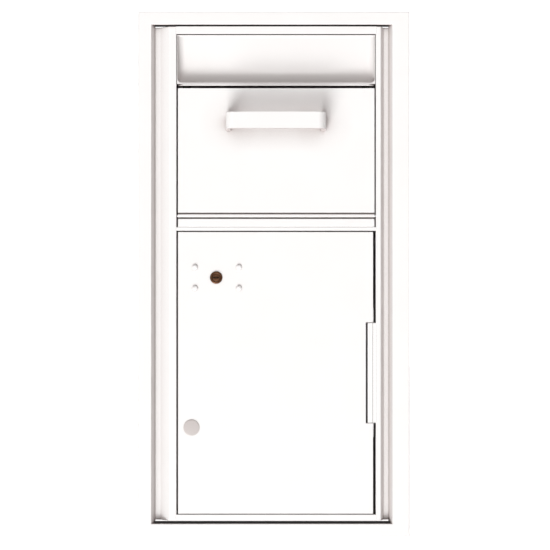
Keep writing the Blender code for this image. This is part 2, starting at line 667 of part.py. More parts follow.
def make_lock_fixed(coat, bronze, steel):
    """Parts of the cam lock that stay with the door: plate, rivets, body and nut."""
    plate_front = FACE + SHEET + GAP
    plate_x = (RIVET_X[0] - PLATE_MARGIN[0], RIVET_X[1] + PLATE_MARGIN[0])
    plate_z = (RIVET_Z[0] - PLATE_MARGIN[1], RIVET_Z[1] + PLATE_MARGIN[1])
    plate = block("lock_plate", plate_x, (plate_front, plate_front + SHEET), plate_z, coat)
    drill(plate, "Y", [LOCK], LOCK_BODY_R + GAP, plate_front - 5.0, plate_front + 9.0, ROUND_STEPS)
    drill(plate, "Y", [(x, z) for x in RIVET_X for z in RIVET_Z], 2.3, plate_front - 5.0, plate_front + 9.0)
    bore = LOCK_PLUG_R + GAP
    collar = FACE - GAP
    body = turned("lock_body", LOCK, [
        (bore, LOCK_FRONT + 0.4), (LOCK_FACE_R - 1.2, LOCK_FRONT + 0.4), (LOCK_FACE_R, LOCK_FRONT + 1.2),
        (LOCK_FACE_R, collar), (LOCK_BODY_R, collar), (LOCK_BODY_R, LOCK_BACK), (bore, LOCK_BACK),
    ], bronze)
    nut_front = plate_front + SHEET + GAP
    nut = rod("lock_nut", "Y", LOCK, 12.5, nut_front, nut_front + 3.5, steel, 6)
    drill(nut, "Y", [LOCK], LOCK_BODY_R + GAP, nut_front - 5.0, nut_front + 9.0, ROUND_STEPS)
    return [plate, body, nut] + make_rivets(coat)


def make_lock_turning(bronze, steel):
    """Plug with its keyway, the cam on its back end and the cam's screw."""
    x, z = LOCK
    plug = turned("lock_plug", LOCK, [
        (0.0, LOCK_FRONT), (LOCK_PLUG_R - 0.5, LOCK_FRONT), (LOCK_PLUG_R, LOCK_FRONT + 0.5),
        (LOCK_PLUG_R, LOCK_BACK + GAP), (2.2, LOCK_BACK + GAP), (2.2, LOCK_BACK - 6.3), (0.0, LOCK_BACK - 6.3),
    ], bronze)
    length, width, depth = KEYWAY
    slot = block("slot", (x - length / 2.0, x + length / 2.0), (LOCK_FRONT - 5.0, LOCK_FRONT + depth),
                 (z - width / 2.0, z + width / 2.0), bronze)
    combine(plug, [slot], "DIFFERENCE")

    cam_y = (LOCK_BACK + 2.0 * GAP, LOCK_BACK + 2.0 * GAP + SHEET)
    half = CAM_WIDTH / 2.0
    outline = []
    for i in range(SMALL_STEPS // 2 + 1):
        turn = math.pi * i / (SMALL_STEPS // 2)
        outline.append((x + half * math.cos(turn), z + half * math.sin(turn)))
    outline += [(x - half, z - CAM_LENGTH + 5.0), (x - half + 5.0, z - CAM_LENGTH), (x + half - 5.0, z - CAM_LENGTH),
                (x + half, z - CAM_LENGTH + 5.0)]
    cam = prism("lock_cam", "Y", outline, cam_y[0], cam_y[1], steel)
    drill(cam, "Y", [LOCK], 2.2, cam_y[0] - 5.0, cam_y[1] + 5.0)
    head = cam_y[1] + GAP
    screw = turned("cam_screw", LOCK, [
        (0.0, LOCK_BACK - 5.0), (1.9, LOCK_BACK - 5.0), (1.9, head), (4.0, head), (3.4, head + 2.2), (0.0, head + 2.6),
    ], steel, SMALL_STEPS)
    return [plug, cam, screw]


def make_hole_plug(plastic):
    """Low snap-in cap: flat face, hollow body and a snap bead behind the door's sheet."""
    front = FACE - GAP
    back = FACE + SHEET
    return turned("hole_plug", PLUG, [
        (0.0, front - 0.9), (PLUG_R - 0.5, front - 0.9), (PLUG_R, front - 0.4), (PLUG_R, front),
        (PLUG_BODY_R, front), (PLUG_BODY_R, back + 1.0), (PLUG_BODY_R + 0.8, back + 1.8), (PLUG_BODY_R, back + 4.0),
        (PLUG_BODY_R - 1.6, back + 4.0), (PLUG_BODY_R - 1.6, front + 1.2), (0.0, front + 1.2),
    ], plastic)


# ---------------------------------------------------------------- assembly

def make_pivot(name, x, y, z):
    pivot = bpy.data.objects.new(name, None)
    pivot.location = metres(x, y, z)
    bpy.context.scene.collection.objects.link(pivot)
    return pivot


def hang(pivot, pieces):
    """Parent the pieces to the pivot and move their origins onto it."""
    for piece in pieces:
        piece.data.transform(Matrix.Translation(-pivot.location))
        piece.parent = pivot


def main():
    for old in list(bpy.data.objects):
        bpy.data.objects.remove(old)
    materials = make_materials()
    coat, steel, bronze = materials["white_coat"], materials["steel"], materials["bronze"]
    rubber = materials["rubber"]

    make_trim(coat, rubber)
    make_frame(coat)
    inner = make_cabinet(coat)
    make_hood(coat)
    make_hopper_seat(materials)
    make_hopper_stops(coat, rubber, inner)
    make_baffle(coat, inner)
    make_strike(coat, rubber)

    hopper = make_hopper_door(coat, steel) + make_bucket(coat, steel)
    hang(make_pivot("hopper_axis", 0.0, *HOPPER_AXIS), hopper)

    access = [make_access_door(coat), make_stiffener(coat), make_hole_plug(materials["grey_plastic"])]
    access += make_hinge(coat, steel) + make_lock_fixed(coat, bronze, steel)
    access_pivot = make_pivot("access_axis", *ACCESS_AXIS, 0.0)
    hang(access_pivot, access)

    lock_pivot = make_pivot("lock_axis", LOCK[0], FACE, LOCK[1])
    hang(lock_pivot, make_lock_turning(bronze, steel))


main()
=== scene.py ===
"""Looks of the recess-mounted parcel drop box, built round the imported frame.

Every piece is rebuilt from its frame node with rolled, rounded edges. The trim, the hood, the cabinet's
panels, the hinge block, the rivets, the lock, the hole plug and the screws are modelled here in more detail.
Lengths are in metres.
"""
import json
import math

import bmesh
import bpy
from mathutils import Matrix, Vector

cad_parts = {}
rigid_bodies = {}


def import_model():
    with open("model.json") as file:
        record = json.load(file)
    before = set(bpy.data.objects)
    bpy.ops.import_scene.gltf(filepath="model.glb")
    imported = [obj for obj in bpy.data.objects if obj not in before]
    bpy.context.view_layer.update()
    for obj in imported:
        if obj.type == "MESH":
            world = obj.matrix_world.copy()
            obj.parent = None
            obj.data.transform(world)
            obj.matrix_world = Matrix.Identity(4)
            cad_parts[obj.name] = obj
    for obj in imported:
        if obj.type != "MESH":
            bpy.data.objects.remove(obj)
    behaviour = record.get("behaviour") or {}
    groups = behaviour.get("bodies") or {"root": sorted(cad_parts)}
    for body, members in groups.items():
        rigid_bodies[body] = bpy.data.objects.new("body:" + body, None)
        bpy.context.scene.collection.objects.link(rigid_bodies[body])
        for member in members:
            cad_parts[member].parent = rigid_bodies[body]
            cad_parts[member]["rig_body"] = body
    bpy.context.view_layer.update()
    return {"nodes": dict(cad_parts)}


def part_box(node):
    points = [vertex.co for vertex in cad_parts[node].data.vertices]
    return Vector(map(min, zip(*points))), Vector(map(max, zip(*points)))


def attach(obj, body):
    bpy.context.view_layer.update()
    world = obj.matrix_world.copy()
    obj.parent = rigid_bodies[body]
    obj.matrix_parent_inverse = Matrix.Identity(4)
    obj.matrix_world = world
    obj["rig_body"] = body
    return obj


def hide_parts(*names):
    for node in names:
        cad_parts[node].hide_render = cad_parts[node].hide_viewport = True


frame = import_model()

MM = 0.001
SMOOTH_ANGLE = math.radians(38.0)
CREASE_ANGLE = math.radians(24.0)    # edges sharper than this are rounded
FLAT_ANGLE = math.radians(1.0)       # faces that meet flatter than this are joined up
WELD_DISTANCE = 1e-6
CUT_WELD_DISTANCE = 1e-7
ROUND_STEPS = 64
ARC_STEPS = 5
GAP = 0.3 * MM               # clearance between neighbouring pieces

# Rounded edge of each kind of piece
SHEET_EDGE = 0.45 * MM
DOOR_EDGE = 0.8 * MM
FOLD_EDGE = 1.1 * MM
WELD_REACH = 1.4 * MM        # a rail's clearance to the stile and the stile's rolled edge
SOFT_EDGE = 1.0 * MM
SMALL_EDGE = 0.2 * MM

# Creases up to this long stay sharp
STILE_SHORTEST = 5.0 * MM
SHEET_SHORTEST = 3.0 * MM
RAIL_SHORTEST = 1.0 * MM

# Trim
TRIM_EDGE = 1.6 * MM
TRIM_SHEET = 2.0 * MM
TRIM_SLOPE = 5.0 * MM        # width of the sloped inner edge

# Hood pocket
POCKET_WALL = 0.7 * MM
POCKET_RIM_BACK = 0.5 * MM
POCKET_CORNER = 6.0 * MM
POCKET_TOP_CORNER = 1.5 * MM
POCKET_FILLET = 18.0 * MM
POCKET_SIDE_FILLET = 11.0 * MM
POCKET_SHEET = 2.0 * MM
POCKET_SETBACK = 2.0 * MM
POCKET_STEPS = 12
POCKET_TOP_INSET = 0.25      # share of the side fillet's inset that the top edge takes
POCKET_TOP_LEAST = 0.6 * MM  # smallest upper corner radius
POCKET_SHALLOW = 0.85        # the fillet takes at most this share of the depth
POCKET_OUTER_CORNER = 0.5 * MM

# Stiffening beads pressed into the cabinet
BEAD_RADIUS = 12.0 * MM
BEAD_DEPTH = 1.0 * MM
BEAD_RUN_OUT = 14.0 * MM
BEAD_MARGIN = 45.0 * MM
BEAD_SHARES = (0.32, 0.68)

# Hinge block
GROOVE_FROM_RIGHT = 4.7 * MM
GROOVE_WIDTH = 0.5 * MM
GROOVE_DEPTH = 1.2 * MM
BLOCK_CORNER = 0.8 * MM
PIN_CLEARANCE = 0.4 * MM
PIN_BORE_STEPS = 47

# Rivets
RIVET_SHANK = 2.0 * MM
RIVET_TAIL = ((3.0, 1.5), (3.2, 1.2), (2.9, 0.3))    # radius and distance from the back, in mm
RIVET_STEPS = 40
DOME_STEPS = 8
DOME_TURN = 11.0             # degrees from one ring of the dome to the next

# Lock and plug
COLLAR_EDGE = 1.7 * MM
COLLAR_LAND = ((0.0, 0.5), (0.3, 0.15), (0.8, 0.0))    # distance out from the bore and depth, in mm
PLUG_RIM = ((0.7, 0.0), (0.2, 0.2), (0.0, 0.7))        # distance in from the edge and depth, in mm
BARREL = 7.9 * MM            # radius of the lock's body behind its collar
BARREL_CHAMFER = 0.4 * MM
CAM_SCREW_HOLE = 2.2 * MM
CAM_SCREW_DEPTH = 6.3 * MM
KEYWAY_LENGTH = 8.0 * MM
KEYWAY_WIDTH = 1.6 * MM
KEYWAY_DEPTH = 5.0 * MM
WARD_HALF = 0.8 * MM         # half width of the ward that stands in the keyway's upper side
WARD_FOOT = 0.35 * MM
DISH_DEPTH = 1.4 * MM
DISH = (                     # bow-shaped recess round the keyway, in shares of the plug's radius
    (-0.86, 0.16), (-0.86, -0.16), (-0.30, -0.34), (0.30, -0.34),
    (0.86, -0.16), (0.86, 0.16), (0.30, 0.34), (-0.30, 0.34),
)
HEX_RECESS = 1.5 * MM
RECESS_DEPTH = 1.2 * MM
CAP_WALL = 9.7 * MM          # radius of the hole plug's snap-in skirt
CAP_SHEET = 1.6 * MM
CAP_CROWN = 0.25 * MM
CAP_FACE = 2.1 * MM          # thickness of its face
CAP_RIM = ((1.4, 0.0), (0.35, 0.1), (0.0, 0.4))        # distance in from the edge and depth, in mm
CAP_RIDGE = ((0.0, 3.0), (0.8, 2.2), (0.0, 0.0))       # distance out from the skirt and from the back, in mm

# Camera and light
CAMERA_DISTANCE = 1.75       # from the doors' face
CAMERA_X = 0.0018
CAMERA_Z = 0.3822
VIEW_WIDTH = 0.8553          # width of the view at the doors' face
SENSOR = 36.0
FLOOR_Z = -0.75
FLOOR_HALF = 12.0
FLOOR_GLOW = 0.55
BACKDROP = 1.3               # strength of the white that the camera sees past the object
FILL = 0.278                 # strength and colour of the light from all round
FILL_COLOUR = (1.0, 0.915, 0.90, 1.0)


# ---------------------------------------------------------------- node trees

def connect(tree, source, target):
    tree.links.new(source, target)


def add_node(tree, kind, values=None, **settings):
    """A shader node with its settings, and its inputs filled with numbers or linked to outputs."""
    node = tree.nodes.new("ShaderNode" + kind)
    for name, value in settings.items():
        setattr(node, name, value)
    for socket, value in (values or {}).items():
        if isinstance(value, bpy.types.NodeSocket):
            connect(tree, value, node.inputs[socket])
        else:
            node.inputs[socket].default_value = value
    return node


def blend_colour(tree, amount, first, second):
    """Output of a colour mix; each argument is a number, a colour or an output."""
    node = add_node(tree, "Mix", data_type="RGBA", blend_type="MIX")
    sockets = (node.inputs[0], node.inputs[6], node.inputs[7])
    for socket, value in zip(sockets, (amount, first, second)):
        if isinstance(value, bpy.types.NodeSocket):
            connect(tree, value, socket)
        elif isinstance(value, tuple):
            socket.default_value = (*value, 1.0)
        else:
            socket.default_value = value
    return node.outputs[2]


def remap(tree, value, low, high, new_low, new_high):
    node = add_node(tree, "MapRange", {"Value": value, "From Min": low, "From Max": high,
                                       "To Min": new_low, "To Max": new_high})
    return node.outputs["Result"]


def noise(tree, place, scale, detail=2.0, stretch=None):
    if stretch:
        mapping = add_node(tree, "Mapping", {"Vector": place, "Scale": stretch})
        place = mapping.outputs["Vector"]
    node = add_node(tree, "TexNoise", {"Vector": place, "Scale": scale, "Detail": detail})
    return node.outputs["Fac"]


def occlusion(tree, distance):
    """1 in the open, towards 0 deep in a recess or seam."""
    node = add_node(tree, "AmbientOcclusion", {"Distance": distance}, samples=8)
    return node.outputs["AO"]


def start_material(name, **inputs):
    material = bpy.data.materials.new(name)
    material.use_nodes = True
    tree = material.node_tree
    shader = tree.nodes["Principled BSDF"]
    for socket, value in inputs.items():
        shader.inputs[socket.replace("_", " ")].default_value = value
    place = add_node(tree, "TexCoord").outputs["Object"]
    return material, tree, shader, place


def bump(tree, shader, height, strength, distance):
    node = add_node(tree, "Bump", {"Height": height, "Strength": strength, "Distance": distance})
    connect(tree, node.outputs["Normal"], shader.inputs["Normal"])


def edge_mask(tree, radius, low, high):
    """1 along edges and 0 on faces, from how far a rounded normal leans away from the true one."""
    soft = add_node(tree, "Bevel", {"Radius": radius}, samples=6).outputs["Normal"]
    true = add_node(tree, "NewGeometry").outputs["Normal"]
    lean = add_node(tree, "VectorMath", {0: soft, 1: true}, operation="DOT_PRODUCT").outputs["Value"]
    return remap(tree, lean, high, low, 0.0, 1.0)


# ---------------------------------------------------------------- materials

COAT_LIGHT = (0.905, 0.898, 0.890)
COAT_DARK = (0.875, 0.868, 0.858)
COAT_SPECK = (0.60, 0.585, 0.57)
# painted shade: grey mixed all over into a piece that sits in a recess
ALL_OVER_SHADE = (0.45, 0.42, 0.41)
# painted shade for edges and sides turned away from the front
RIM_SHADE = (0.50, 0.46, 0.45)
# painted shade for faces that point down
UNDERSIDE_SHADE = (0.36, 0.31, 0.30)
# painted shade for the band in front of a slope's foot
FOOT_SHADE = (0.20, 0.17, 0.165)
# painted shade in recesses
RECESS_SHADE = (0.53, 0.47, 0.455)
# lighter painted shade for the hood's pocket
POCKET_SHADE = (0.66, 0.61, 0.595)
# painted shade deep in seams and gaps
SEAM_SHADE = (0.035, 0.018, 0.014)
SEAM_REACH = 0.013
FOOT_SHADE_SPAN = (3.4 * MM, 1.4 * MM)     # in front of a slope's foot: where the painted shade begins, where it is darkest


def powder_coat(name="white_powder_coat", shade_reach=0.045, open_at=0.97, full_at=0.40, shade_colour=RECESS_SHADE,
                shade_all_over=0.0, shaded_underside=False, shaded_rim=False, shaded_foot=None):
    """White polyester powder: fine orange peel, faint cloudiness, painted shade in recesses and deep in
    seams.

    A share of grey mixed in all over is painted shade for a recessed piece. The underside option paints shade
    on faces that point down. The rim option greys the edges and sloped sides, which lean away from the front,
    as painted shade. The foot is the y of a slope's foot, in front of which a band of painted shade is laid.
    """
    material, tree, shader, place = start_material(name, IOR=1.5, Coat_Weight=0.12, Coat_Roughness=0.22)
    cloud = noise(tree, place, 14.0, 3.0)
    colour = blend_colour(tree, cloud, COAT_LIGHT, COAT_DARK)
    speck = noise(tree, place, 2600.0, 1.0)
    speck = remap(tree, speck, 0.70, 0.78, 0.0, 0.10)
    colour = blend_colour(tree, speck, colour, COAT_SPECK)
    # painted shade: a share of grey mixed in all over the piece
    if shade_all_over:
        colour = blend_colour(tree, shade_all_over, colour, ALL_OVER_SHADE)
    normal = add_node(tree, "TexCoord").outputs["Normal"]
    lean = add_node(tree, "SeparateXYZ", {"Vector": normal})
    # painted shade on faces that point down
    if shaded_underside:
        under = remap(tree, lean.outputs["Z"], -0.15, -0.60, 0.0, 0.9)
        colour = blend_colour(tree, under, colour, UNDERSIDE_SHADE)
    # painted shade on edges and sloped sides that turn away from the front
    if shaded_rim:
        rim = remap(tree, lean.outputs["Y"], -0.85, -0.25, 0.0, 0.28)
        colour = blend_colour(tree, rim, colour, RIM_SHADE)
    # painted shade in a band in front of a slope's foot, darkest near the foot
    if shaded_foot is not None:
        depth = add_node(tree, "SeparateXYZ", {"Vector": place}).outputs["Y"]
        line = remap(tree, depth, shaded_foot - FOOT_SHADE_SPAN[0], shaded_foot - FOOT_SHADE_SPAN[1], 0.0, 0.78)
        colour = blend_colour(tree, line, colour, FOOT_SHADE)
    # painted shade in recesses, by how enclosed each point is
    recess_shade = remap(tree, occlusion(tree, shade_reach), open_at, full_at, 0.0, 1.0)
    colour = blend_colour(tree, recess_shade, colour, shade_colour)
    # darker painted shade deep in seams and gaps
    shade_and_patina = remap(tree, occlusion(tree, SEAM_REACH), 0.56, 0.27, 0.0, 0.98)
    colour = blend_colour(tree, shade_and_patina, colour, SEAM_SHADE)
    connect(tree, colour, shader.inputs["Base Color"])
    rough = remap(tree, noise(tree, place, 45.0, 4.0), 0.3, 0.7, 0.36, 0.50)
    connect(tree, rough, shader.inputs["Roughness"])
    peel = noise(tree, place, 700.0, 2.0)
    bump(tree, shader, peel, 0.22, 0.00012)
    return material


def zinc_steel():
    """Zinc-plated steel drawn along its length, with cloudy plating and brighter rubbed edges."""
    material, tree, shader, place = start_material("zinc_steel", Metallic=1.0)
    cloud = noise(tree, place, 90.0, 5.0)
    colour = blend_colour(tree, cloud, (0.66, 0.67, 0.68), (0.50, 0.50, 0.49))
    rub = edge_mask(tree, 0.0004, 0.86, 0.99)
    colour = blend_colour(tree, rub, colour, (0.80, 0.80, 0.79))
    # painted shade, near black, deep in narrow seams
    shade_and_patina = remap(tree, occlusion(tree, 0.004), 0.5, 0.1, 0.0, 0.7)
    colour = blend_colour(tree, shade_and_patina, colour, (0.10, 0.08, 0.07))
    connect(tree, colour, shader.inputs["Base Color"])
    grain = noise(tree, place, 60.0, 4.0, (40.0, 40.0, 2.0))
    connect(tree, remap(tree, grain, 0.3, 0.7, 0.26, 0.46), shader.inputs["Roughness"])
    bump(tree, shader, grain, 0.18, 0.0001)
    return material


def dark_bronze():
    """Oil-rubbed bronze of the lock: near-black in the recesses, brown on the faces, copper on worn edges."""
    material, tree, shader, place = start_material("dark_bronze", Metallic=1.0)
    cloud = noise(tree, place, 320.0, 4.0)
    colour = blend_colour(tree, cloud, (0.17, 0.085, 0.048), (0.085, 0.038, 0.020))
    wear = edge_mask(tree, 0.0005, 0.80, 0.985)
    colour = blend_colour(tree, wear, colour, (0.36, 0.22, 0.15))
    shade_and_patina = remap(tree, occlusion(tree, 0.006), 0.90, 0.45, 0.0, 0.97)
    colour = blend_colour(tree, shade_and_patina, colour, (0.02, 0.010, 0.006))
    connect(tree, colour, shader.inputs["Base Color"])
    connect(tree, remap(tree, cloud, 0.3, 0.7, 0.30, 0.48), shader.inputs["Roughness"])
    bump(tree, shader, noise(tree, place, 2200.0, 3.0), 0.25, 0.00006)
    return material


def moulded_plastic(name, light, dark, roughness, grain_depth):
    """Moulded plastic with a fine spark-eroded grain and faint flow marks."""
    material, tree, shader, place = start_material(name, IOR=1.49)
    flow = noise(tree, place, 60.0, 3.0, (1.0, 1.0, 3.0))
    colour = blend_colour(tree, flow, light, dark)
    # painted shade, near black, deep in narrow seams
    shade_and_patina = remap(tree, occlusion(tree, 0.003), 0.5, 0.12, 0.0, 0.85)
    colour = blend_colour(tree, shade_and_patina, colour, (0.06, 0.045, 0.04))
    connect(tree, colour, shader.inputs["Base Color"])
    fine = noise(tree, place, 3000.0, 2.0)
    connect(tree, remap(tree, fine, 0.3, 0.7, roughness - 0.06, roughness + 0.08), shader.inputs["Roughness"])
    bump(tree, shader, fine, 0.35, grain_depth)
    return material


def floor_paint():
    """Pale painted floor that also glows a little, so that it stays near white under soft light."""
    glow = {"Emission_Color": (1.0, 1.0, 1.0, 1.0), "Emission_Strength": FLOOR_GLOW}
    material, tree, shader, place = start_material("pale_floor", Roughness=0.9, **glow)
    patch = noise(tree, place, 0.8, 3.0)
    colour = blend_colour(tree, patch, (0.93, 0.93, 0.93), (0.91, 0.91, 0.91))
    connect(tree, colour, shader.inputs["Base Color"])
    return material


FINISH = {
    "white_coat": powder_coat(),
    "steel": zinc_steel(),
    "bronze": dark_bronze(),
    "grey_plastic": moulded_plastic(
        "warm_grey_plastic", (0.60, 0.555, 0.54), (0.55, 0.505, 0.49), 0.46, 0.00005),
    "nylon": moulded_plastic("natural_nylon", (0.80, 0.78, 0.72), (0.74, 0.72, 0.66), 0.42, 0.00003),
    "rubber": moulded_plastic("black_rubber", (0.016, 0.014, 0.014), (0.010, 0.009, 0.009), 0.80, 0.00010),
}


# ---------------------------------------------------------------- mesh tools

def arc(centre, radius, start, end, steps=ARC_STEPS):
    """Points of an arc in degrees, as (a, b) pairs."""
    points = []
    for i in range(steps + 1):
        turn = math.radians(start + (end - start) * i / steps)
        points.append((centre[0] + radius * math.cos(turn), centre[1] + radius * math.sin(turn)))
    return points


def slot_of(node):
    """Record slot of a frame node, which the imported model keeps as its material's name."""
    return frame["nodes"][node].data.materials[0].name.split(".")[0]


def round_edges(shape, width, segments=2, shortest=0.0, kept=()):
    """Roll every crease that is longer than shortest and doesn't lie wholly on the kept vertices."""
    chosen = []
    for edge in shape.edges:
        if len(edge.link_faces) != 2 or edge.calc_length() <= shortest:
            continue
        if edge.verts[0] in kept and edge.verts[1] in kept:
            continue
        if edge.calc_face_angle(0.0) > CREASE_ANGLE:
            chosen.append(edge)
    bmesh.ops.bevel(shape, geom=chosen, offset=width, segments=segments, profile=0.5, affect="EDGES",
                    clamp_overlap=True)


def run_on(shape, reach):
    """Push both ends along X into the neighbours' rolled edges, as a dressed weld, and return them."""
    low = min(vertex.co.x for vertex in shape.verts)
    high = max(vertex.co.x for vertex in shape.verts)
    ends = set()
    for vertex in shape.verts:
        if vertex.co.x < low + SHEET_EDGE:
            vertex.co.x -= reach
            ends.add(vertex)
        elif vertex.co.x > high - SHEET_EDGE:
            vertex.co.x += reach
            ends.add(vertex)
    return ends


def finish_piece(name, shape, nodes, finish=None):
    """Turn a bmesh into a piece that stands for frame nodes, takes their body and wears the given finish or
    their slot's.
    """
    bmesh.ops.recalc_face_normals(shape, faces=shape.faces)
    mesh = bpy.data.meshes.new(name)
    shape.to_mesh(mesh)
    shape.free()
    mesh.shade_smooth()
    mesh.set_sharp_from_angle(angle=SMOOTH_ANGLE)
    rough = bpy.data.objects.new(name + "_rough", mesh)
    bpy.context.scene.collection.objects.link(rough)
    weighted = rough.modifiers.new("weighted", "WEIGHTED_NORMAL")
    weighted.keep_sharp = True
    view = bpy.context.view_layer
    view.update()
    final = bpy.data.meshes.new_from_object(rough.evaluated_get(view.depsgraph), depsgraph=view.depsgraph)
    bpy.data.objects.remove(rough)
    final.name = name
    slot = slot_of(nodes[0])
    final.materials.clear()
    final.materials.append(finish or FINISH[slot])
    piece = bpy.data.objects.new(name, final)
    bpy.context.scene.collection.objects.link(piece)
    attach(piece, frame["nodes"][nodes[0]]["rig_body"])
    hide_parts(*nodes)


def node_shape(node):
    """Frame node's mesh, welded and with its flat faces joined up."""
    shape = bmesh.new()
    shape.from_mesh(frame["nodes"][node].data)
    bmesh.ops.remove_doubles(shape, verts=shape.verts, dist=WELD_DISTANCE)
    bmesh.ops.dissolve_limit(shape, angle_limit=FLAT_ANGLE, verts=shape.verts, edges=shape.edges)
    return shape


def soften(node, width, segments=2, shortest=0.0, reach=0.0, finish=None):
    """Frame node with its creases rolled and, where it is welded, its ends run on."""
    shape = node_shape(node)
    ends = run_on(shape, reach) if reach else ()
    round_edges(shape, width, segments, shortest, ends)
    finish_piece(node + "_finish", shape, [node], finish)


def bridge(shape, ring, following):
    """Faces between two rings of vertices, as triangles where a ring's vertices are one and the same."""
    for i in range(len(ring)):
        j = (i + 1) % len(ring)
        corners = []
        for vertex in (ring[i], ring[j], following[j], following[i]):
            if vertex not in corners:
                corners.append(vertex)
        shape.faces.new(corners)


def lathe(centre, profile, steps=ROUND_STEPS):
    """Solid turned about a line along Y through centre (x, z), from (radius, y) points.

    A profile that starts and ends at radius 0 is closed on the axis, any other one is a closed loop round it.
    """
    shape = bmesh.new()
    rings = []
    for radius, y in profile:
        if radius == 0.0:
            rings.append([shape.verts.new((centre[0], y, centre[1]))] * steps)
            continue
        ring = []
        for i in range(steps):
            turn = 2.0 * math.pi * i / steps
            x = centre[0] + radius * math.cos(turn)
            z = centre[1] + radius * math.sin(turn)
            ring.append(shape.verts.new((x, y, z)))
        rings.append(ring)
    pairs = list(zip(rings, rings[1:]))
    if profile[0][0] > 0.0:
        pairs.append((rings[-1], rings[0]))
    for ring, following in pairs:
        bridge(shape, ring, following)
    return shape


def cut(shape, cutters):
    """Boolean each cutter out of the shape."""
    target_mesh = bpy.data.meshes.new("target")
    bmesh.ops.recalc_face_normals(shape, faces=shape.faces)
    shape.to_mesh(target_mesh)
    shape.free()
    target = bpy.data.objects.new("target", target_mesh)
    bpy.context.scene.collection.objects.link(target)
    helpers = []
    for cutter in cutters:
        bmesh.ops.recalc_face_normals(cutter, faces=cutter.faces)
        mesh = bpy.data.meshes.new("cutter")
        cutter.to_mesh(mesh)
        cutter.free()
        helper = bpy.data.objects.new("cutter", mesh)
        bpy.context.scene.collection.objects.link(helper)
        modifier = target.modifiers.new("cut", "BOOLEAN")
        modifier.operation = "DIFFERENCE"
        modifier.solver = "EXACT"
        modifier.object = helper
        helpers.append(helper)
    view = bpy.context.view_layer
    view.update()
    result = bpy.data.meshes.new_from_object(target.evaluated_get(view.depsgraph), depsgraph=view.depsgraph)
    for helper in helpers + [target]:
        bpy.data.objects.remove(helper)
    shape = bmesh.new()
    shape.from_mesh(result)
    bmesh.ops.remove_doubles(shape, verts=shape.verts, dist=CUT_WELD_DISTANCE)
    return shape


def extrude(outline, direction):
    """Closed prism from a planar outline of points pushed along a direction."""
    shape = bmesh.new()
    near = [shape.verts.new(point) for point in outline]
    far = [shape.verts.new(Vector(point) + Vector(direction)) for point in outline]
    shape.faces.new(near)
    shape.faces.new(far[::-1])
    for i in range(len(near)):
        j = (i + 1) % len(near)
        shape.faces.new((near[i], far[i], far[j], near[j]))
    return shape


# ---------------------------------------------------------------- trim

def trim_profile(width, slope, front, back, foot):
    """One side of the trim as (distance out from the opening, y): outer edge, face, inner bend and leg."""
    lean = math.degrees(math.atan2(slope, foot - front))
    profile = [(width, back)]
    profile += arc((width - TRIM_EDGE, front + TRIM_EDGE), TRIM_EDGE, 0.0, -90.0)
    profile += arc((TRIM_EDGE, front + TRIM_EDGE), TRIM_EDGE, -90.0, -180.0 + lean)
    profile.append((-slope, foot))
    profile.append((TRIM_SHEET - slope, foot))
    profile.append((TRIM_SHEET, back))
    return profile


def make_trim():
    """One welded and dressed surround: the four members' profiles are swept and mitred round the opening."""
    left_low, left_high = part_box("trim_left")
    right_low, right_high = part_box("trim_right")
    bottom_low, bottom_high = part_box("trim_bottom")
    top_low, top_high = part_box("trim_top")
    front, back, foot = left_low.y, bottom_high.y, left_high.y
    opening_x = (left_high.x - TRIM_SLOPE, right_low.x + TRIM_SLOPE)
    sides = [
        trim_profile(opening_x[0] - left_low.x, TRIM_SLOPE, front, back, foot),
        trim_profile(right_high.x - opening_x[1], TRIM_SLOPE, front, back, foot),
    ]
    levels = [
        trim_profile(bottom_high.z - bottom_low.z, 0.0, front, back, foot),
        trim_profile(top_high.z - top_low.z, 0.0, front, back, foot),
    ]
    shape = bmesh.new()
    rings = []
    for side, level in ((0, 0), (1, 0), (1, 1), (0, 1)):
        ring = []
        for (a, y), (b, _) in zip(sides[side], levels[level]):
            x = opening_x[0] - a if side == 0 else opening_x[1] + a
            z = bottom_high.z - b if level == 0 else top_low.z + b
            ring.append(shape.verts.new((x, y, z)))
        rings.append(ring)
    for ring, following in zip(rings, rings[1:] + rings[:1]):
        bridge(shape, ring, following)
    # the trim gets painted shade on its turned edges and sides, and in a band in front of its slope's foot
    coat = powder_coat("trim_powder_coat", shaded_rim=True, shaded_foot=foot)
    finish_piece("trim_surround", shape, ["trim_left", "trim_right", "trim_bottom", "trim_top"], coat)


# ---------------------------------------------------------------- hood

def rounded_rectangle(x, z, bottom, top, steps=6):
    """Points round a rectangle from its lower left corner, with one radius below and one above."""
    points = []
    points += arc((x[0] + bottom, z[0] + bottom), bottom, 180.0, 270.0, steps)
    points += arc((x[1] - bottom, z[0] + bottom), bottom, 270.0, 360.0, steps)
    points += arc((x[1] - top, z[1] - top), top, 0.0, 90.0, steps)
    points += arc((x[0] + top, z[1] - top), top, 90.0, 180.0, steps)
    return points


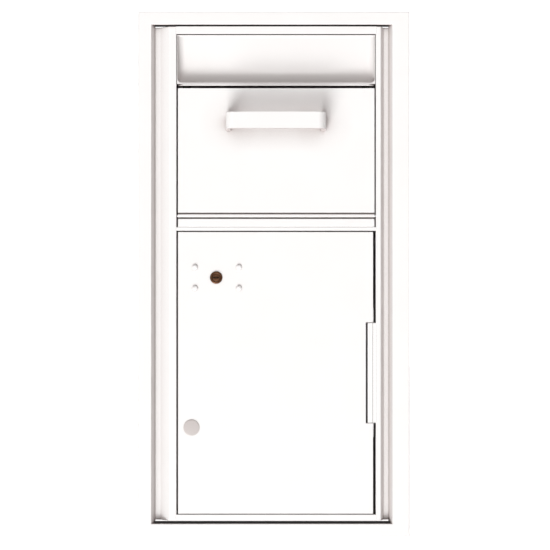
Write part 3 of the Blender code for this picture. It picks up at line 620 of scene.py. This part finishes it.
def make_hood():
    """Drawn pocket with a sloping back, filleted into its walls and floor, as one closed shell."""
    low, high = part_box("hood_panel")
    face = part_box("access_door_panel")[0].y
    floor_top = low.z + POCKET_SHEET
    outer_x, outer_z = (low.x, high.x), (low.z, high.z)
    inner_x = (low.x + POCKET_WALL, high.x - POCKET_WALL)
    inner_z = (floor_top, high.z - GAP)
    deepest = high.y - POCKET_SHEET

    def depth(z):
        share = (inner_z[1] - z) / (inner_z[1] - inner_z[0])
        return face + POCKET_SETBACK + (deepest - face - POCKET_SETBACK) * min(1.0, max(0.0, share))

    shape = bmesh.new()
    outline = rounded_rectangle(inner_x, inner_z, POCKET_CORNER, POCKET_TOP_CORNER)
    rings = [[shape.verts.new((a, face + POCKET_RIM_BACK, b)) for a, b in outline]]
    for i in range(POCKET_STEPS + 1):
        turn = 0.5 * math.pi * i / POCKET_STEPS
        share = 1.0 - math.cos(turn)
        inset = POCKET_SIDE_FILLET * share
        ring = []
        x = (inner_x[0] + inset, inner_x[1] - inset)
        z = (inner_z[0] + POCKET_FILLET * share, inner_z[1] - POCKET_TOP_INSET * inset)
        corner = POCKET_CORNER + (POCKET_SIDE_FILLET - POCKET_CORNER) * share
        outline = rounded_rectangle(x, z, corner, max(POCKET_TOP_CORNER - inset, POCKET_TOP_LEAST))
        for a, b in outline:
            full = depth(b)
            local = min(POCKET_FILLET, POCKET_SHALLOW * (full - face))
            ring.append(shape.verts.new((a, full - local * (1.0 - math.sin(turn)), b)))
        rings.append(ring)
    for ring, following in zip(rings, rings[1:]):
        bridge(shape, ring, following)
    shape.faces.new(rings[-1])

    outer = rounded_rectangle(outer_x, outer_z, POCKET_OUTER_CORNER, POCKET_OUTER_CORNER)
    rim = [shape.verts.new((a, face + POCKET_RIM_BACK, b)) for a, b in outer]
    back = [shape.verts.new((a, depth(b) + POCKET_SHEET, b)) for a, b in outer]
    count = len(rim)
    for i in range(count):
        j = (i + 1) % count
        shape.faces.new((rings[0][i], rim[i], rim[j], rings[0][j]))
        shape.faces.new((rim[i], back[i], back[j], rim[j]))
    shape.faces.new(back)
    # the pocket is greyed all over and tinted deeper in its recess, both as painted shade
    coat = powder_coat("pocket_powder_coat", 0.075, 0.97, 0.24, POCKET_SHADE, shade_all_over=0.32)
    finish_piece("hood_pocket", shape, ["hood_panel", "hood_end_left", "hood_end_right"], coat)
    soften("hood_lip", SHEET_EDGE)


# ---------------------------------------------------------------- cabinet

def bead(start, end, outward):
    """Tapered rod laid on a face, which presses a shallow groove with run-out ends into it."""
    start, end = Vector(start), Vector(end)
    run = (end - start).normalized()
    side = outward.cross(run)
    lift = outward * (BEAD_RADIUS - BEAD_DEPTH)
    shape = bmesh.new()
    rings = []
    stations = ((start, BEAD_RADIUS - BEAD_DEPTH), (start + run * BEAD_RUN_OUT, BEAD_RADIUS),
                (end - run * BEAD_RUN_OUT, BEAD_RADIUS), (end, BEAD_RADIUS - BEAD_DEPTH))
    for point, radius in stations:
        ring = []
        for i in range(ROUND_STEPS):
            turn = 2.0 * math.pi * i / ROUND_STEPS
            spoke = (side * math.cos(turn) + outward * math.sin(turn)) * radius
            ring.append(shape.verts.new(point + lift + spoke))
        rings.append(ring)
    for ring, following in zip(rings, rings[1:]):
        bridge(shape, ring, following)
    shape.faces.new(rings[0])
    shape.faces.new(rings[-1])
    return shape


def make_panel(node, lines, outward):
    """Flat panel with stiffening beads pressed into its outer face."""
    shape = node_shape(node)
    round_edges(shape, SHEET_EDGE, 2, SHEET_SHORTEST)
    shape = cut(shape, [bead(start, end, outward) for start, end in lines])
    finish_piece(node + "_finish", shape, [node])


def make_cabinet():
    """Sides with two upright beads each, a crossed back and a top with two beads."""
    low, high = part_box("cabinet_back")
    x = (low.x + BEAD_MARGIN, high.x - BEAD_MARGIN)
    z = (low.z + BEAD_MARGIN, high.z - BEAD_MARGIN)
    crossed = [
        ((x[0], high.y, z[0]), (x[1], high.y, z[1])),
        ((x[0], high.y, z[1]), (x[1], high.y, z[0])),
    ]
    make_panel("cabinet_back", crossed, Vector((0.0, 1.0, 0.0)))
    for node, outward in (("cabinet_left_side", -1.0), ("cabinet_right_side", 1.0)):
        low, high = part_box(node)
        face = low.x if outward < 0.0 else high.x
        lines = []
        for share in BEAD_SHARES:
            y = low.y + share * (high.y - low.y)
            lines.append(((face, y, z[0]), (face, y, z[1])))
        make_panel(node, lines, Vector((outward, 0.0, 0.0)))
    low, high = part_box("cabinet_top")
    lines = []
    for share in BEAD_SHARES:
        y = low.y + share * (high.y - low.y)
        lines.append(((low.x + BEAD_MARGIN, y, high.z), (high.x - BEAD_MARGIN, y, high.z)))
    make_panel("cabinet_top", lines, Vector((0.0, 0.0, 1.0)))


# ---------------------------------------------------------------- access door hardware

def make_hinge_block():
    """Flush block with a fine vertical joint line where its knuckle cover ends."""
    low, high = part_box("hinge_block")
    groove = high.x - GROOVE_FROM_RIGHT
    outline = arc((low.x + BLOCK_CORNER, low.y + BLOCK_CORNER), BLOCK_CORNER, 180.0, 270.0)
    outline += [(groove, low.y), (groove, low.y + GROOVE_DEPTH)]
    outline += [(groove + GROOVE_WIDTH, low.y + GROOVE_DEPTH), (groove + GROOVE_WIDTH, low.y)]
    outline += [(high.x + WELD_REACH, low.y), (high.x + WELD_REACH, high.y), (low.x, high.y)]
    shape = extrude([(x, y, low.z) for x, y in outline], (0.0, 0.0, high.z - low.z))
    pin_low, pin_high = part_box("access_hinge_pin")
    centre = ((pin_low.x + pin_high.x) / 2.0, (pin_low.y + pin_high.y) / 2.0)
    bore = (pin_high.x - pin_low.x) / 2.0 + PIN_CLEARANCE
    circle = arc(centre, bore, 0.0, 360.0 - 360.0 / (PIN_BORE_STEPS + 1), PIN_BORE_STEPS)
    cutter = extrude([(x, y, low.z - MM) for x, y in circle], (0.0, 0.0, high.z - low.z + 2.0 * MM))
    finish_piece("hinge_block_finish", cut(shape, [cutter]), ["hinge_block"])


def round_node(node):
    """Centre (x, z), radius and y range of a frame node that is turned about a line along Y."""
    low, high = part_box(node)
    centre = ((low.x + high.x) / 2.0, (low.z + high.z) / 2.0)
    return centre, (high.x - low.x) / 2.0, low.y, high.y


def make_rivets():
    """Domed heads on the door's face, with a shank and a set tail behind it."""
    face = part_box("access_door_panel")[0].y
    for row in ("lower", "upper"):
        for side in ("left", "right"):
            node = "rivet_" + row + "_" + side
            centre, radius, front, back = round_node(node)
            seat = face - GAP
            profile = [(0.0, front)]
            for i in range(1, DOME_STEPS + 1):
                turn = math.radians(90.0 - DOME_TURN * i)
                profile.append((radius * math.cos(turn), seat - (seat - front) * math.sin(turn)))
            profile += [(radius, seat), (RIVET_SHANK, seat), (RIVET_SHANK, back - RIVET_TAIL[0][1] * MM)]
            profile += [(tail * MM, back - depth * MM) for tail, depth in RIVET_TAIL]
            profile.append((0.0, back))
            finish_piece(node + "_finish", lathe(centre, profile, RIVET_STEPS), [node])


def make_lock():
    """Collar with a rolled outer edge and an inner land, and the plug with its keyway and a chamfered rim."""
    centre, radius, front, back = round_node("lock_body")
    _, plug_radius, plug_front, plug_back = round_node("lock_plug")
    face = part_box("access_door_panel")[0].y
    collar = face - GAP
    bore = plug_radius + GAP
    profile = [(bore + out * MM, front + depth * MM) for out, depth in COLLAR_LAND]
    profile += arc((radius - COLLAR_EDGE, front + COLLAR_EDGE), COLLAR_EDGE, -90.0, 0.0, 6)
    profile += [(radius, collar), (BARREL, collar), (BARREL, back - BARREL_CHAMFER)]
    profile += [(BARREL - BARREL_CHAMFER, back), (bore, back)]
    finish_piece("lock_body_finish", lathe(centre, profile), ["lock_body"])

    profile = [(0.0, plug_front)]
    profile += [(plug_radius - inward * MM, plug_front + depth * MM) for inward, depth in PLUG_RIM]
    profile += [(plug_radius, plug_back), (CAM_SCREW_HOLE, plug_back)]
    profile += [(CAM_SCREW_HOLE, plug_back - CAM_SCREW_DEPTH), (0.0, plug_back - CAM_SCREW_DEPTH)]
    x, z = centre
    half, width = KEYWAY_LENGTH / 2.0, KEYWAY_WIDTH / 2.0
    keyway = [(x - half, z - width), (x + half, z - width), (x + half, z + width)]
    keyway += [(x + WARD_HALF, z + width), (x + WARD_HALF, z + WARD_FOOT)]
    keyway += [(x - WARD_HALF, z + WARD_FOOT), (x - WARD_HALF, z + width), (x - half, z + width)]
    slot = extrude([(a, plug_front - MM, b) for a, b in keyway], (0.0, KEYWAY_DEPTH + MM, 0.0))
    bow = []
    for share, height in DISH:
        bow.append((x + share * plug_radius, z + height * plug_radius))
    dish = extrude([(a, plug_front - MM, b) for a, b in bow], (0.0, DISH_DEPTH + MM, 0.0))
    shape = cut(lathe(centre, profile), [dish, slot])
    finish_piece("lock_plug_finish", shape, ["lock_plug"])


def make_hole_plug():
    """Snap-in cap with a faintly crowned face and a rolled rim."""
    centre, radius, front, back = round_node("hole_plug")
    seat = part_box("access_door_panel")[0].y - GAP
    rim = front + CAP_CROWN
    profile = [(0.0, front), (0.5 * radius, front + 0.2 * CAP_CROWN)]
    profile += [(radius - inward * MM, rim + depth * MM) for inward, depth in CAP_RIM]
    profile += [(radius, seat), (CAP_WALL, seat)]
    profile += [(CAP_WALL + out * MM, back - ahead * MM) for out, ahead in CAP_RIDGE]
    profile += [(CAP_WALL - CAP_SHEET, back), (CAP_WALL - CAP_SHEET, front + CAP_FACE)]
    profile.append((0.0, front + CAP_FACE))
    finish_piece("hole_plug_finish", lathe(centre, profile), ["hole_plug"])


def hex_cutter(point, direction, depth):
    """Hexagonal prism round a line, from outside the head to a depth below its top."""
    turn = Vector((0.0, 0.0, 1.0)).rotation_difference(direction).to_matrix()
    outline = []
    for i in range(6):
        angle = math.pi * i / 3.0
        flat = Vector((HEX_RECESS * math.cos(angle), HEX_RECESS * math.sin(angle), 0.0))
        outline.append(point + turn @ flat + direction * MM)
    return extrude(outline, -direction * (depth + MM))


def make_screw(node, direction):
    """Screw with its head towards direction and a hexagonal recess in the head."""
    shape = node_shape(node)
    points = [vertex.co.copy() for vertex in shape.verts]
    middle = sum(points, Vector()) / len(points)
    top = max((point - middle).dot(direction) for point in points)
    head = middle + direction * top
    shape = cut(shape, [hex_cutter(head, direction, RECESS_DEPTH)])
    finish_piece(node + "_finish", shape, [node])


def make_screws():
    """The handle's and the cam's screws face inward, the counterweight's stand square on the tray."""
    inward = Vector((0.0, 1.0, 0.0))
    for node in ("handle_screw_left", "handle_screw_right", "cam_screw"):
        make_screw(node, inward)
    tray = max(frame["nodes"]["hopper_tray"].data.polygons, key=lambda face: face.area)
    up = tray.normal.copy() if tray.normal.z > 0.0 else -tray.normal
    for node in ("counterweight_screw_left", "counterweight_screw_right"):
        make_screw(node, up)


# ---------------------------------------------------------------- stage

def make_floor():
    """Ground that only the camera sees: it casts no shadow and throws no light back on the object."""
    shape = bmesh.new()
    half = FLOOR_HALF
    corners = [(-half, -half), (half, -half), (half, half), (-half, half)]
    shape.faces.new([shape.verts.new((x, y, FLOOR_Z)) for x, y in corners])
    mesh = bpy.data.meshes.new("floor")
    shape.to_mesh(mesh)
    shape.free()
    mesh.materials.append(floor_paint())
    floor = bpy.data.objects.new("floor", mesh)
    bpy.context.scene.collection.objects.link(floor)
    floor.visible_shadow = False
    floor.visible_diffuse = False
    floor.visible_glossy = False


def add_sun(name, direction, strength, spread, colour):
    """Sun that shines along a direction; spread is its apparent size in degrees."""
    light = bpy.data.lights.new(name, "SUN")
    light.energy = strength
    light.angle = math.radians(spread)
    light.color = colour
    lamp = bpy.data.objects.new(name, light)
    lamp.rotation_euler = Vector(direction).to_track_quat("-Z", "Y").to_euler()
    bpy.context.scene.collection.objects.link(lamp)


def make_world():
    """Soft warm fill for the object, plain white where the camera sees past it."""
    world = bpy.data.worlds.new("studio")
    bpy.context.scene.world = world
    world.use_nodes = True
    tree = world.node_tree
    tree.nodes.clear()
    fill = add_node(tree, "Background", {"Color": FILL_COLOUR, "Strength": FILL})
    backdrop = add_node(tree, "Background", {"Color": (1.0, 1.0, 1.0, 1.0), "Strength": BACKDROP})
    rays = add_node(tree, "LightPath")
    seen = rays.outputs["Is Camera Ray"]
    either = add_node(tree, "MixShader", {0: seen, 1: fill.outputs[0], 2: backdrop.outputs[0]})
    output = add_node(tree, "OutputWorld")
    connect(tree, either.outputs[0], output.inputs["Surface"])


def make_camera():
    """Level camera square to the doors, with the lens that fits the view's width."""
    data = bpy.data.cameras.new("camera")
    data.sensor_width = SENSOR
    data.lens = SENSOR * CAMERA_DISTANCE / VIEW_WIDTH
    camera = bpy.data.objects.new("camera", data)
    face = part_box("access_door_panel")[0].y
    camera.location = (CAMERA_X, face - CAMERA_DISTANCE, CAMERA_Z)
    camera.rotation_euler = (math.radians(90.0), 0.0, 0.0)
    bpy.context.scene.collection.objects.link(camera)
    bpy.context.scene.camera = camera


# ---------------------------------------------------------------- the whole

# Name, direction of travel, strength, apparent size in degrees, colour
SUNS = (
    ("low_key", (0.24, 0.62, 0.75), 2.1, 34.0, (0.99, 1.0, 1.0)),
    ("lower_key", (0.24, 0.45, 0.86), 1.36, 40.0, (0.99, 1.0, 1.0)),
    ("front_low", (0.10, 0.93, 0.35), 0.52, 30.0, (1.0, 1.0, 1.0)),
    ("front_fill", (0.0, 0.90, -0.40), 0.40, 60.0, (1.0, 0.99, 0.985)),
    ("back_fill", (-0.3, -0.6, -0.75), 1.2, 60.0, (1.0, 0.99, 0.98)),
)
STILES = ("frame_left_stile", "frame_right_stile")
RAILS = ("frame_top_rail", "frame_mid_rail", "frame_bottom_rail")
DOORS = ("hopper_door_panel", "access_door_panel")
SHEETS = (
    "cabinet_bottom", "hopper_sill", "anti_fish_baffle", "strike_plate",
    "hopper_stop_left", "hopper_stop_right", "hopper_side_left", "hopper_side_right", "hopper_tray",
    "access_door_stiffener", "lock_plate", "lock_cam", "seal_top", "seal_bottom",
)
SMALL = (
    "hopper_hinge_pin", "access_hinge_pin", "hopper_bearing_left", "hopper_bearing_right",
    "hopper_bumper_left", "hopper_bumper_right", "door_bumper_lower", "door_bumper_upper",
    "hinge_lug_lower", "hinge_lug_upper", "lock_nut", "tray_counterweight",
)

make_trim()
make_hood()
for node in STILES:
    soften(node, FOLD_EDGE, 3, STILE_SHORTEST)
for node in RAILS:
    soften(node, SHEET_EDGE, 2, RAIL_SHORTEST, WELD_REACH)
for node in DOORS:
    soften(node, DOOR_EDGE, 3, SHEET_SHORTEST)
for node in SHEETS:
    soften(node, SHEET_EDGE, 2, SHEET_SHORTEST)
for node in SMALL:
    soften(node, SMALL_EDGE)
# the handle's underside is darkened as painted shade
soften("hopper_handle", SOFT_EDGE, 3, finish=powder_coat("handle_powder_coat", shaded_underside=True))
make_cabinet()
make_hinge_block()
make_rivets()
make_lock()
make_hole_plug()
make_screws()

make_floor()
make_world()
for sun in SUNS:
    add_sun(*sun)
make_camera()
bpy.context.scene.view_settings.view_transform = "Standard"
